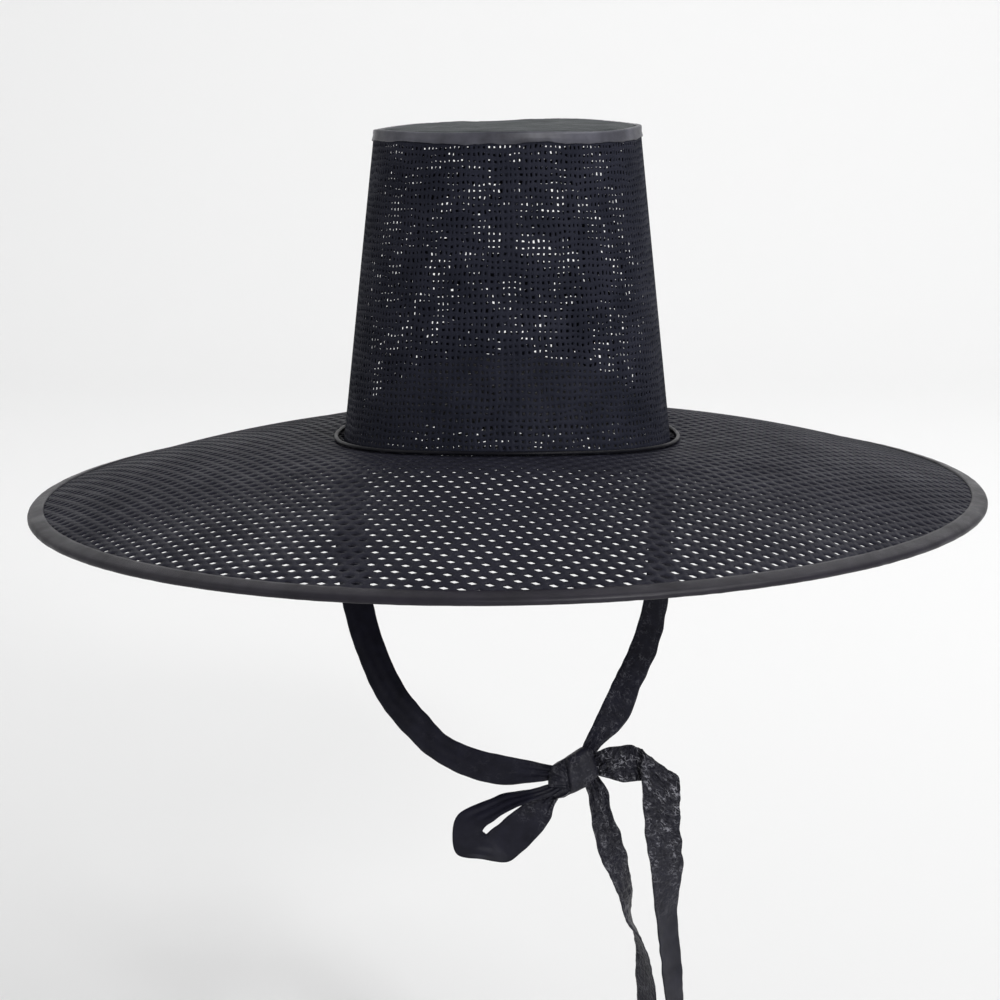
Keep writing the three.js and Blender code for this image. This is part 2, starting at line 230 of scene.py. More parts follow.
def noise_value(tree, place, scale, detail, roughness=0.5):
    inputs = {"Vector": place, "Scale": scale, "Detail": detail, "Roughness": roughness}
    return add_node(tree, "ShaderNodeTexNoise", inputs).outputs["Fac"]


def stretched(tree, value, band, result=(0.0, 1.0)):
    """Maps the two ends of a band of values to the two results."""
    low, high = band
    inputs = {"Value": value, "From Min": low, "From Max": high, "To Min": result[0], "To Max": result[1]}
    return add_node(tree, "ShaderNodeMapRange", inputs).outputs["Result"]


def mixed_colour(tree, factor, first, second):
    inputs = {"Factor": factor, "A": first, "B": second}
    return add_node(tree, "ShaderNodeMix", inputs, data_type="RGBA").outputs["Result"]


def new_group(name, inputs, outputs):
    tree = bpy.data.node_groups.new(name, "ShaderNodeTree")
    for label, kind, default in inputs:
        socket = tree.interface.new_socket(name=label, in_out="INPUT", socket_type=kind)
        if default is not None:
            socket.default_value = default
    for label, kind in outputs:
        tree.interface.new_socket(name=label, in_out="OUTPUT", socket_type=kind)
    return tree, tree.nodes.new("NodeGroupInput"), tree.nodes.new("NodeGroupOutput")


# %% [markdown]
# ## Mottling
# Black cloth fades and takes up dust in soft clouds a centimetre or two across. A painted image could
# show them, but it would need unwrapped pieces. A noise texture in object space fits every shape, and
# stretching its middle values to the full range makes the clouds distinct.

# %% Mottling group
MOTTLE_DETAIL = 4.0
MOTTLE_ROUGHNESS = 0.55
MOTTLE_BAND = (0.3, 0.7)


def make_mottle_group():
    tree, given, result = new_group(
        "cloth_mottle",
        [("Place", "NodeSocketVector", None), ("Patch Size", "NodeSocketFloat", 0.02)],
        [("Mottle", "NodeSocketFloat")],
    )
    per_metre = math_node(tree, "DIVIDE", 1.0, given.outputs["Patch Size"])
    cloud = noise_value(tree, given.outputs["Place"], per_metre, MOTTLE_DETAIL, MOTTLE_ROUGHNESS)
    tree.links.new(stretched(tree, cloud, MOTTLE_BAND), result.inputs["Mottle"])
    return tree


MOTTLE = make_mottle_group()
print("group:", MOTTLE.name)


# %% [markdown]
# ## Weave
# Threads that pass over and under each other are small hills in a chequered order, about half a
# millimetre apart. Modelled threads would take millions of faces. Two sine waves multiplied give the
# same hills, and the bump only needs their height.

# %% Weave group
def make_weave_group():
    tree, given, result = new_group(
        "woven_threads",
        [
            ("Place", "NodeSocketVector", None),
            ("Warp Pitch", "NodeSocketFloat", 0.0005),
            ("Weft Pitch", "NodeSocketFloat", 0.0005),
        ],
        [("Height", "NodeSocketFloat")],
    )
    parts = add_node(tree, "ShaderNodeSeparateXYZ", {0: given.outputs["Place"]})

    def wave(axis, pitch):
        turns = math_node(tree, "DIVIDE", parts.outputs[axis], given.outputs[pitch])
        return math_node(tree, "SINE", math_node(tree, "MULTIPLY", turns, math.tau))

    warp = wave("X", "Warp Pitch")
    weft = wave("Y", "Weft Pitch")
    crossing = math_node(tree, "MULTIPLY", warp, weft)
    height = math_node(tree, "MULTIPLY", math_node(tree, "ADD", crossing, 1.0), 0.5)
    tree.links.new(height, result.inputs["Height"])
    return tree


WEAVE = make_weave_group()
print("group:", WEAVE.name)


# %% [markdown]
# ## Crushed cloth
# Ribbon that has been knotted tightly keeps small sharp facets, and the creases between them catch
# the light as thin pale lines. A simulation would need a far finer mesh. Here Voronoi cells give the
# facets to the bump. The pale lines are painted highlights in the base colour: the thin band where a
# noise passes its middle value gives the creases, and a wider noise keeps them to some patches. A
# faint even painted sheen lies over all the crushed cloth. Amount, between 0 and 1, comes from the mesh.

# %% Crush group
DRIFT_SCALE = 330.0
DRIFT_REACH = 3 * MM
FACET_SCALE = 520.0
CREASE_SCALE = 430.0
CREASE_DETAIL = 1.5
CREASE_BAND = (0.05, 0.008)
PATCH_SCALE = 170.0
PATCH_BAND = (0.46, 0.6)
# A faint painted sheen that all crushed cloth gets, besides the painted highlights on its creases.
PAINTED_EVEN_SHEEN = 0.04


def drifted(tree, place):
    """Bends a place a little to and fro, so that cells lose their straight sides."""
    bent = add_node(tree, "ShaderNodeTexNoise", {"Vector": place, "Scale": DRIFT_SCALE, "Detail": 1.0})
    drift = add_node(
        tree, "ShaderNodeVectorMath", {0: bent.outputs["Color"], "Scale": DRIFT_REACH}, operation="SCALE"
    )
    moved = {0: place, 1: drift.outputs["Vector"]}
    return add_node(tree, "ShaderNodeVectorMath", moved, operation="ADD").outputs["Vector"]


def make_crush_and_painted_glint_group():
    tree, given, result = new_group(
        "crushed_cloth_and_painted_glints",
        [("Place", "NodeSocketVector", None), ("Amount", "NodeSocketFloat", 0.0)],
        [("Height", "NodeSocketFloat"), ("Painted Sheen", "NodeSocketFloat")],
    )
    place, amount = given.outputs["Place"], given.outputs["Amount"]
    moved = drifted(tree, place)
    facets = add_node(tree, "ShaderNodeTexVoronoi", {"Vector": moved, "Scale": FACET_SCALE}, feature="F1")
    wander = noise_value(tree, moved, CREASE_SCALE, CREASE_DETAIL)
    off_middle = math_node(tree, "ABSOLUTE", math_node(tree, "SUBTRACT", wander, 0.5))
    crease = stretched(tree, off_middle, CREASE_BAND)
    lit = stretched(tree, noise_value(tree, place, PATCH_SCALE, CREASE_DETAIL), PATCH_BAND)
    # Painted highlight: pale crease lines kept to patches, plus the faint even painted sheen.
    painted_glints = math_node(tree, "ADD", math_node(tree, "MULTIPLY", crease, lit), PAINTED_EVEN_SHEEN)
    height = math_node(tree, "MULTIPLY", facets.outputs["Distance"], amount)
    tree.links.new(height, result.inputs["Height"])
    tree.links.new(math_node(tree, "MULTIPLY", painted_glints, amount), result.inputs["Painted Sheen"])
    return tree


CRUSH_AND_PAINTED_GLINTS = make_crush_and_painted_glint_group()
print("group:", CRUSH_AND_PAINTED_GLINTS.name)

# %% [markdown]
# ## The finishes
# Black cloth is never one black. The net is a matt, stiffened thread that turns grey where it is seen at
# a shallow angle; the tapes are satin; the ribbon is a plain weave with a faint shine; the thin top is a
# greyer cloth. One function makes them all from a row of values, because they differ only in colour,
# sheen, patch size and weave. Follows says that the weave runs along the piece's own UV map. Crinkle is
# how deep the facets of crushed cloth are, where the mesh says that it is crushed; such cloth also gets
# painted highlights on its creases.

# %% Cloth materials
Finish = namedtuple(
    "Finish", "name dark light rough_low rough_high specular patch warp weft relief follows crinkle"
)
WEAVE_STRENGTH = 0.8
CRUSHED_SHINE = 0.15
# The pale colour of the painted highlights on crushed cloth.
PAINTED_GLINT_COLOUR = (0.34, 0.34, 0.38, 1)


def bumped(tree, height, distance, strength, normal=None):
    inputs = {"Height": height, "Distance": distance, "Strength": strength}
    if normal is not None:
        inputs["Normal"] = normal
    return add_node(tree, "ShaderNodeBump", inputs).outputs["Normal"]


def crush_and_paint_glints(tree, strip, depth, colour, roughness, normal):
    """Adds facets, painted highlights on the creases and some shine where the mesh says that the cloth is
    crushed.
    """
    amount = add_node(tree, "ShaderNodeAttribute", attribute_name="crushed").outputs["Fac"]
    crush = add_node(tree, "ShaderNodeGroup", {"Place": strip, "Amount": amount}, node_tree=CRUSH_AND_PAINTED_GLINTS)
    # Painted highlight: the pale colour is mixed into the base colour along the crease lines.
    colour = mixed_colour(tree, crush.outputs["Painted Sheen"], colour, PAINTED_GLINT_COLOUR)
    shine = math_node(tree, "MULTIPLY", amount, CRUSHED_SHINE)
    roughness = math_node(tree, "SUBTRACT", roughness, shine)
    return colour, roughness, bumped(tree, crush.outputs["Height"], depth, 1.0, normal)


def make_cloth(finish):
    material = bpy.data.materials.new(finish.name)
    material.use_nodes = True
    tree = material.node_tree
    shader = tree.nodes["Principled BSDF"]
    place = add_node(tree, "ShaderNodeTexCoord").outputs["Object"]
    strip = add_node(tree, "ShaderNodeUVMap", uv_map="strip").outputs["UV"] if finish.follows else place
    patches = {"Place": place, "Patch Size": finish.patch}
    mottle = add_node(tree, "ShaderNodeGroup", patches, node_tree=MOTTLE).outputs["Mottle"]
    threads = {"Place": strip, "Warp Pitch": finish.warp, "Weft Pitch": finish.weft}
    weave = add_node(tree, "ShaderNodeGroup", threads, node_tree=WEAVE).outputs["Height"]
    colour = mixed_colour(tree, mottle, (*finish.dark, 1), (*finish.light, 1))
    roughness = stretched(tree, mottle, (0.0, 1.0), (finish.rough_high, finish.rough_low))
    normal = bumped(tree, weave, finish.relief, WEAVE_STRENGTH)
    if finish.crinkle:
        colour, roughness, normal = crush_and_paint_glints(tree, strip, finish.crinkle, colour, roughness, normal)
    tree.links.new(colour, shader.inputs["Base Color"])
    tree.links.new(roughness, shader.inputs["Roughness"])
    tree.links.new(normal, shader.inputs["Normal"])
    shader.inputs["Specular IOR Level"].default_value = finish.specular
    return material


FINISHES = [
    Finish("crown_net", (0.009, 0.010, 0.017), (0.017, 0.018, 0.029), 0.6, 0.75, 0.08,
           0.02, 0.0007, 0.0007, 0.00006, False, 0),
    Finish("brim_net", (0.008, 0.008, 0.015), (0.014, 0.014, 0.023), 0.5, 0.65, 0.15,
           0.03, 0.0007, 0.0007, 0.00006, False, 0),
    Finish("cap_net", (0.080, 0.080, 0.084), (0.140, 0.140, 0.145), 0.7, 0.8, 0.1,
           0.02, 0.0006, 0.0006, 0.00005, False, 0),
    Finish("edge_satin", (0.009, 0.008, 0.012), (0.018, 0.016, 0.023), 0.34, 0.5, 0.25,
           0.012, 0.0004, 0.0011, 0.00003, True, 0),
    Finish("top_satin", (0.020, 0.020, 0.028), (0.085, 0.085, 0.105), 0.32, 0.48, 0.4,
           0.016, 0.0004, 0.0011, 0.00003, True, 0),
    Finish("ribbon_cloth", (0.005, 0.005, 0.010), (0.011, 0.011, 0.020), 0.38, 0.5, 0.15,
           0.008, 0.0004, 0.0006, 0.00004, True, 0.0022),
    Finish("crushed_ribbon", (0.005, 0.005, 0.010), (0.012, 0.012, 0.021), 0.4, 0.52, 0.25,
           0.008, 0.0004, 0.0006, 0.00004, True, 0.003),
    Finish("top_cloth", (0.027, 0.032, 0.036), (0.036, 0.043, 0.047), 0.5, 0.62, 0.12,
           0.015, 0.0005, 0.0005, 0.00004, False, 0),
    Finish("ring_gloss", (0.003, 0.003, 0.005), (0.006, 0.006, 0.009), 0.35, 0.45, 0.1,
           0.01, 0.002, 0.002, 0.00002, False, 0),
]
MATERIALS = {finish.name: make_cloth(finish) for finish in FINISHES}
print("materials:", ", ".join(MATERIALS))

# %% [markdown]
# ## The crown's net
# The real wall is stiff square net about 3 mm from thread to thread. Here it starts as a flat grid, one
# face a mesh of the net. Insetting every face leaves frames, the faces inside the frames are deleted as
# the holes, and only then is the sheet rolled into a cone. No two holes of a real net are alike, so the
# crossings are moved a little at random and the rolled net is warped. That unevenness matters:
# front and back wall are seen through each other, and it breaks their holes into irregular sparkle. The
# last rows turn outwards as the foot that lies under the brim.

# %% Net helpers
CROSSING_STRAY = 0.15
KNOT_PROUD = 0.08 * MM
SLOW_WARP = 1.1 * MM
SLOW_WARP_SIZE = 26 * MM
QUICK_WARP = 1 * MM
QUICK_WARP_SIZE = 6 * MM


def cut_holes(bm, half):
    """Cuts a hole into every face and leaves its rim as thread, half a thread wide."""
    holes = bm.faces[:]
    bmesh.ops.inset_individual(bm, faces=holes, thickness=half, use_even_offset=True)
    bmesh.ops.delete(bm, geom=holes, context="FACES")


def flat_net(columns, rows, width, length, thread_share):
    """A flat net, centred on X and rising along Y from 0. thread_share is a thread's share of a mesh."""
    dice = random.Random(columns)
    bm = bmesh.new()
    bmesh.ops.create_grid(bm, x_segments=columns, y_segments=rows, size=0.5)
    bmesh.ops.translate(bm, vec=(0, 0.5, 0), verts=bm.verts[:])
    bmesh.ops.scale(bm, vec=(columns, rows, 1), verts=bm.verts[:])
    for vertex in bm.verts:
        if not vertex.is_boundary:
            vertex.co.x += dice.uniform(-CROSSING_STRAY, CROSSING_STRAY)
            vertex.co.y += dice.uniform(-CROSSING_STRAY, CROSSING_STRAY)
    crossings = bm.verts[:]
    cut_holes(bm, thread_share / 2)
    bmesh.ops.scale(bm, vec=(width / columns, length / rows, 1), verts=bm.verts[:])
    return bm, crossings


def warp(place):
    """How far a net has pulled out of its even grid at a place: a vector of which two parts are used."""
    slow = noise.noise_vector(place / SLOW_WARP_SIZE) * SLOW_WARP
    return slow + noise.noise_vector(place / QUICK_WARP_SIZE) * QUICK_WARP


def face_outwards(bm, away):
    """Turns every face to look the way that away gives for its middle, before Solidify thickens it."""
    turned = [face for face in bm.faces if face.normal.dot(away(face.calc_center_median())) < 0]
    bmesh.ops.reverse_faces(bm, faces=turned)


# %% [markdown]
# ## Rolling the crown
# The real wall is sewn into a cone, and its two ends overlap in a narrow seam at the front. A texture
# with see-through holes would do from afar, but only real threads sparkle from every side. The flat net
# is bent in code, because one formula then gives the taper, the foot and the warp together. The seam is
# a strip of three columns just inside the wall, half a mesh off.

# %% Crown net
NET_COLUMNS = 172
NET_ROWS = 48
THREAD_SHARE = 0.61
SEAM_COLUMNS = 3
SEAM_THREAD_SHARE = 0.72
NET_WALL = 0.35 * MM
FOOT_WIDTH = 6 * MM
FOOT_HEIGHT = -3.2 * MM
WALL_TOP = CROWN_HEIGHT - 1.5 * MM
NET_LENGTH = FOOT_WIDTH + WALL_TOP - FOOT_HEIGHT
NET_AROUND = math.pi * (CROWN_BASE_RADIUS + CROWN_TOP_RADIUS)
SEWN_REACH = 8 * MM
SEAM_GAP = 0.2 * MM


def roll_up(bm, crossings, start_angle=0.0, inward=0.0):
    """Rolls a flat net into the crown's wall and foot, which hold it straight at top and bottom."""
    proud = set(crossings)
    for vertex in bm.verts:
        angle = start_angle + vertex.co.x / NET_AROUND * math.tau
        up = vertex.co.y - FOOT_WIDTH
        height = FOOT_HEIGHT + max(0.0, up)
        radius = crown_radius(height) + max(0.0, -up)
        pulled = warp(Vector((radius * math.sin(angle), -radius * math.cos(angle), vertex.co.y)))
        free = min(1.0, max(0.0, up) / SEWN_REACH) * min(1.0, (WALL_TOP - height) / SEWN_REACH)
        angle += pulled.x / radius
        height += pulled.y * free
        radius = crown_radius(height) + max(0.0, -up) - inward
        radius += KNOT_PROUD if vertex in proud and up > 0 else 0.0
        vertex.co = Vector((radius * math.sin(angle), -radius * math.cos(angle), height))
    bmesh.ops.remove_doubles(bm, verts=bm.verts[:], dist=2 * MERGE_REACH)
    settle(bm)
    face_outwards(bm, lambda middle: Vector((middle.x, middle.y, 0)))


def make_crown_net():
    bm, crossings = flat_net(NET_COLUMNS, NET_ROWS, NET_AROUND, NET_LENGTH, THREAD_SHARE)
    roll_up(bm, crossings)
    finish_piece("crown_net", bm, "crown_net", ["crown_wall"], thickness=NET_WALL, outward=False)


def make_crown_seam():
    """The net's two ends overlap at the front: a second, half shifted strip just inside the wall."""
    width = SEAM_COLUMNS * NET_AROUND / NET_COLUMNS
    bm, crossings = flat_net(SEAM_COLUMNS, NET_ROWS, width, NET_LENGTH, SEAM_THREAD_SHARE)
    half_a_mesh = 0.5 * math.tau / NET_COLUMNS
    roll_up(bm, crossings, half_a_mesh, NET_WALL + SEAM_GAP)
    finish_piece("crown_seam", bm, "crown_net", thickness=NET_WALL, outward=False)


make_crown_net()
make_crown_seam()

# %% [markdown]
# ## The brim's net
# The brim's holes lie on a honeycomb, about 7 mm from one to the next, in straight rows right across the
# hat. A honeycomb is quick to make from triangles: cutting every corner of a triangular lattice at a
# third of its edges turns all faces into equal hexagons. Each is inset and its middle deleted, and the
# flat net is then lifted onto the dome of the brim.

# %% Brim net
CELL_PITCH = 7 * MM
CELL_EAST = Vector((7.5 * MM, -1.8 * MM))
CELL_NORTH = Vector((4.4 * MM, 4.5 * MM))
CELL_THREAD_HALF = 1.7 * MM
BRIM_WALL = 1 * MM
BRIM_HOLE_RADIUS = 82.9 * MM
BRIM_NET_RADIUS = BRIM_RADIUS - 1.4 * MM
SHEET_SPREAD = 2.6
SHEET_LIMIT = 1.35


def hexagon_sheet(reach):
    edge = CELL_PITCH * math.sqrt(3)
    count = math.ceil(SHEET_SPREAD * reach / edge)
    bm = bmesh.new()
    bmesh.ops.create_grid(bm, x_segments=count, y_segments=count, size=count * edge / 2)
    rhombus = Matrix(((1, 0.5, 0, 0), (0, math.sqrt(0.75), 0, 0), (0, 0, 1, 0), (0, 0, 0, 1)))
    bmesh.ops.transform(bm, matrix=rhombus, verts=bm.verts[:])
    outside = [vertex for vertex in bm.verts if vertex.co.length > SHEET_LIMIT * reach]
    bmesh.ops.delete(bm, geom=outside, context="VERTS")
    bmesh.ops.triangulate(bm, faces=bm.faces[:], quad_method="SHORT_EDGE")
    bmesh.ops.bevel(
        bm,
        geom=bm.verts[:],
        offset=edge / 3,
        offset_type="OFFSET",
        affect="VERTICES",
        segments=1,
        profile=0.5,
        material=-1,
        clamp_overlap=False,
    )
    return bm


def lattice_matrix():
    """Carries the even honeycomb to the rows measured on the real brim."""
    even = Matrix(((math.cos(math.pi / 6), 0), (math.sin(math.pi / 6), 1))) * CELL_PITCH
    real = Matrix(((CELL_EAST.x, CELL_NORTH.x), (CELL_EAST.y, CELL_NORTH.y)))
    return (real @ even.inverted()).to_4x4()


def make_brim_net():
    bm = hexagon_sheet(BRIM_RADIUS)
    bmesh.ops.transform(bm, matrix=lattice_matrix(), verts=bm.verts[:])
    spare = [
        face for face in bm.faces
        if not BRIM_HOLE_RADIUS - 1 * MM < face.calc_center_median().length < BRIM_NET_RADIUS
    ]
    bmesh.ops.delete(bm, geom=spare, context="FACES")
    corners = set(bm.verts)
    cut_holes(bm, CELL_THREAD_HALF)
    for vertex in bm.verts:
        flat_radius = vertex.co.length
        radius = min(BRIM_NET_RADIUS, max(BRIM_HOLE_RADIUS, flat_radius))
        vertex.co *= radius / flat_radius
        vertex.co.z = brim_height(radius) + (KNOT_PROUD if vertex in corners else 0.0)
    settle(bm)
    face_outwards(bm, lambda middle: Vector((0, 0, 1)))
    finish_piece("brim_net", bm, "brim_net", ["brim"], thickness=BRIM_WALL, outward=False)


make_brim_net()

# %% [markdown]
# ## The soft cap inside
# Inside the lower crown sits a low cap of softer net. It shows through the wall as a dome without the
# bright sparkle, because it closes most of the wall's holes. It is the same kind of flat net, cut to a
# circle and laid over the dome so that the length from the middle stays true, with gathers that grow
# towards its edge. Its thread is paler than the wall's, so that the dome can be made out.

# %% Inner cap
CAP_HEIGHT = 39.5 * MM
CAP_BASE = -3.2 * MM
CAP_RADIUS = 80.4 * MM
CAP_GATHER = 2.2 * MM
CAP_GATHERS = 9
CAP_CRUMPLE = 1.2 * MM
CAP_WALL = 0.4 * MM
CAP_PITCH = 2.9 * MM
CAP_ARC = 1.17 * CAP_RADIUS
CAP_THREAD_SHARE = 0.7


def cap_dome(share):
    """Radius and height on the dome, for a share from the middle (0) to the edge (1)."""
    angle = (1 - share) * math.pi / 2
    return CAP_RADIUS * math.cos(angle), CAP_BASE + (CAP_HEIGHT - CAP_BASE) * math.sin(angle)


def make_inner_cap():
    count = math.ceil(2 * CAP_ARC / CAP_PITCH)
    side = count * CAP_PITCH
    bm, _ = flat_net(count, count, side, side, CAP_THREAD_SHARE)
    bmesh.ops.translate(bm, vec=(0, -side / 2, 0), verts=bm.verts[:])
    outside = [vertex for vertex in bm.verts if vertex.co.length > CAP_ARC + CAP_PITCH]
    bmesh.ops.delete(bm, geom=outside, context="VERTS")
    for vertex in bm.verts:
        share = min(1.0, vertex.co.length / CAP_ARC)
        angle = front_angle(vertex.co)
        radius, height = cap_dome(share)
        fold = CAP_GATHER * (0.5 - 0.5 * math.cos(CAP_GATHERS * angle)) * (radius / CAP_RADIUS) ** 2
        crumple = noise.noise(Vector((math.sin(angle) * 2, math.cos(angle) * 2, share * 5)))
        radius -= fold + CAP_CRUMPLE * share * (0.5 + 0.5 * crumple)
        vertex.co = Vector((radius * math.sin(angle), -radius * math.cos(angle), height))
    settle(bm)
    face_outwards(bm, lambda middle: middle)
    finish_piece("cap_net", bm, "cap_net", ["inner_cap"], thickness=CAP_WALL, outward=False)


make_inner_cap()

# %% [markdown]
# ## The ring where crown and brim meet
# A thin glossy cord lies on the brim, a few millimetres off the wall, and catches a line of light at both
# sides. A circle of twelve corners spun round the axis is round enough for a 2 mm cord.

# %% Junction ring
RING_CORNERS = 12
RING_STEPS = 240
RING_WOBBLE = 0.12 * MM


def circle_section(radius, height, wire, corners):
    turns = [math.tau * i / corners for i in range(corners)]
    ring = [(radius + wire / 2 * math.cos(turn), height + wire / 2 * math.sin(turn)) for turn in turns]
    return ring + ring[:1]


def lift_by_seat(bm):
    """Lifts a thin ring as one piece, so that its round section stays round."""
    for vertex in bm.verts:
        angle = front_angle(vertex.co)
        seat = Vector((RING_RADIUS * math.sin(angle), -RING_RADIUS * math.cos(angle), 0))
        wobble = RING_WOBBLE * math.sin(7 * angle + 0.4) * math.sin(3 * angle)
        vertex.co.z += settled_lift(seat) + wobble


def make_junction_ring():
    bm = spun(circle_section(RING_RADIUS, 0, RING_WIRE, RING_CORNERS), RING_STEPS)
    lift_by_seat(bm)
    finish_piece("junction_ring_cord", bm, "ring_gloss", ["junction_ring"])


make_junction_ring()

# %% [markdown]
# ## The bound edge of the brim
# A satin bias tape is folded over the brim's edge. Its top lies flat, its fold hangs as a soft roll, and
# because a straight tape goes round a curve it puckers very slightly. The section is spun in many steps,
# then ruffled by less than a fifth of a millimetre, and its own UV map keeps the satin weave running
# round the brim.

# %% Brim binding
TAPE_WIDTH = 8 * MM
TAPE_STEPS = 360
PUCKER_DEPTH = 0.16 * MM


def tape_section():
    inner = BRIM_RADIUS - TAPE_WIDTH
    rows = [
        (inner, -0.95), (inner, -0.3), (inner, 0.35), (inner + 0.5 * MM, 1.0), (inner + 2 * MM, 1.2),
        (inner + 4 * MM, 1.3), (inner + 6 * MM, 1.3), (inner + 7.1 * MM, 1.1), (inner + 7.7 * MM, 0.6),
        (inner + 8 * MM, -0.2), (inner + 7.95 * MM, -1.1), (inner + 7.5 * MM, -1.9),
        (inner + 6.6 * MM, -2.25), (inner + 4 * MM, -2.3), (inner + 1 * MM, -2.2), (inner, -1.7),
    ]
    section = [(radius, brim_height(radius) + rise * MM) for radius, rise in rows]
    return section + section[:1]


def add_strip_map(bm, map_radius):
    """A UV map in metres: U runs round the hat, V across it, both from the vertex's own place."""
    layer = bm.loops.layers.uv.new("strip")
    for face in bm.faces:
        middle_angle = front_angle(face.calc_center_median())
        for loop in face.loops:
            place = loop.vert.co
            angle = front_angle(place)
            angle += math.tau * round((middle_angle - angle) / math.tau)
            loop[layer].uv = (angle * map_radius, math.hypot(place.x, place.y) + place.z)


def around_axis(point, height=0.0):
    """A place on a circle of radius 1, so that noise read there meets itself after a full turn."""
    angle = front_angle(point)
    return Vector((math.sin(angle), math.cos(angle), height))


def make_brim_binding():
    bm = spun(tape_section(), TAPE_STEPS)
    for vertex in bm.verts:
        around = around_axis(vertex.co)
        pucker = noise.noise(around * 46) + 0.5 * noise.noise(around * 110)
        vertex.co.z += PUCKER_DEPTH * pucker
    settle(bm)
    add_strip_map(bm, BRIM_RADIUS)
    finish_piece("brim_tape", bm, "edge_satin", ["brim_binding"])


make_brim_binding()

# %% [markdown]
# ## The top of the crown
# A thin, slightly grey cloth closes the crown. It isn't stretched tight, so it puffs up a little inside
# its tape and waves near its edge. A cloth simulation is hard to steer to such small waves. A line spun
# into a disc of fine rings can be raised just where it is wanted, and noise adds the unevenness.

# %% Crown top
TOP_CLOTH_WALL = 0.4 * MM
TOP_RINGS = 44
TOP_STEPS = 144
TOP_PUFF = 1.1 * MM
PUFF_EDGE = 0.985
PUFF_REACH = 0.09
TOP_SLACK = 0.6 * MM
TOP_UNEVEN = 0.3 * MM


def make_crown_top():
    radii = [CROWN_TOP_RADIUS * ring / TOP_RINGS for ring in range(TOP_RINGS + 1)]
    bm = spun([(radius, CROWN_HEIGHT) for radius in radii], TOP_STEPS)
    for vertex in bm.verts:
        share = vertex.co.xy.length / CROWN_TOP_RADIUS
        vertex.co.z += TOP_PUFF * smooth_step((PUFF_EDGE - share) / PUFF_REACH)
        vertex.co.z += TOP_SLACK * smooth_step(share) * noise.noise(vertex.co * 60)
        vertex.co.z += TOP_UNEVEN * noise.noise(vertex.co * 150)
    settle(bm)
    piece = finish_piece("top_disc", bm, "top_cloth", ["crown_top"], thickness=TOP_CLOTH_WALL)


make_crown_top()

# %% [markdown]
# ## The tape round the top
# The edge where the thin cloth meets the wall is bound with satin tape, sewn on by hand, so the tape's
# lower edge wanders up and down. A ribbon bent along a circle would need its ends joined. A closed
# section spun round the axis has no ends, and noise that grows towards the lower edge moves it.

# %% Crown top binding
TOP_TAPE_DROP = 4.6 * MM
TOP_TAPE_GAP = 0.2 * MM
TOP_TAPE_WALL = 0.5 * MM
TOP_TAPE_STEPS = 240
HEM_WANDER = 0.9 * MM
HEM_PUCKER = 0.15 * MM


def top_tape_section():
    inside = CROWN_TOP_RADIUS + TOP_TAPE_GAP
    outside = inside + TOP_TAPE_WALL
    hem = CROWN_HEIGHT - TOP_TAPE_DROP
    foot = crown_radius(hem) + TOP_TAPE_GAP
    over = CROWN_HEIGHT + 0.15 * MM
    section = [
        (foot, hem), (foot + 0.4 * MM, hem - 0.1 * MM),
        (foot + 0.6 * MM, hem + 0.3 * MM), (outside, CROWN_HEIGHT - 2 * MM),
        (outside, CROWN_HEIGHT - 0.3 * MM), (outside - 0.2 * MM, over + 0.35 * MM),
        (outside - 0.7 * MM, over + 0.6 * MM), (inside - 1.2 * MM, over + 0.5 * MM),
        (inside - 2.2 * MM, over + 0.35 * MM), (inside - 2.4 * MM, over), (inside - 0.3 * MM, over),
        (inside, CROWN_HEIGHT - 1 * MM),
    ]
    return section + section[:1]


def make_top_binding():
    bm = spun(top_tape_section(), TOP_TAPE_STEPS)
    for vertex in bm.verts:
        around = around_axis(vertex.co, 0.3)
        below = min(1.0, max(0.0, (CROWN_HEIGHT - vertex.co.z) / TOP_TAPE_DROP))
        wander = noise.noise(around * 5) + 0.5 * noise.noise(around * 13)
        vertex.co.z += HEM_WANDER * below * wander
        vertex.co.z += HEM_PUCKER * noise.noise(around * 40)
    settle(bm)
    add_strip_map(bm, CROWN_TOP_RADIUS)
    finish_piece("top_tape", bm, "top_satin", ["crown_top_binding"])


make_top_binding()

# %% [markdown]
# ## The ribbons
# A ribbon keeps its width and thickness but turns, twists and gathers. Its two edges are smooth curves
# through a few listed rows, which follow those that shaped the solids. A grid is laid between the
# edges, a little cupped across, pleated where the rows make it narrow, and lightly crumpled, and
# Solidify gives it the thickness of cloth. A curve with a flat profile would twist on its own between
# points, so the two edges are given. Rows: shares of the reach to the right, front and down, share of
# the full width, the angle of the width in the front view and how far it turns away, in degrees.

# %% Ribbon helper
RIBBON_WIDTH = 15.5 * MM
RIBBON_WALL = 0.5 * MM
CUP_DEPTH = 0.5 * MM
PLEAT_DEPTH = 1.6 * MM
CRINKLE_DEPTH = 1.1 * MM
WRINKLE_SIZE = 9 * MM
CRINKLE_SIZE = 2.6 * MM
PLEATS = 3
EDGE_STRAY = 1.5
EDGE_WAVE = 7 * MM
ROW_STEPS = 16
Row = namedtuple("Row", "right front drop span lie lean")


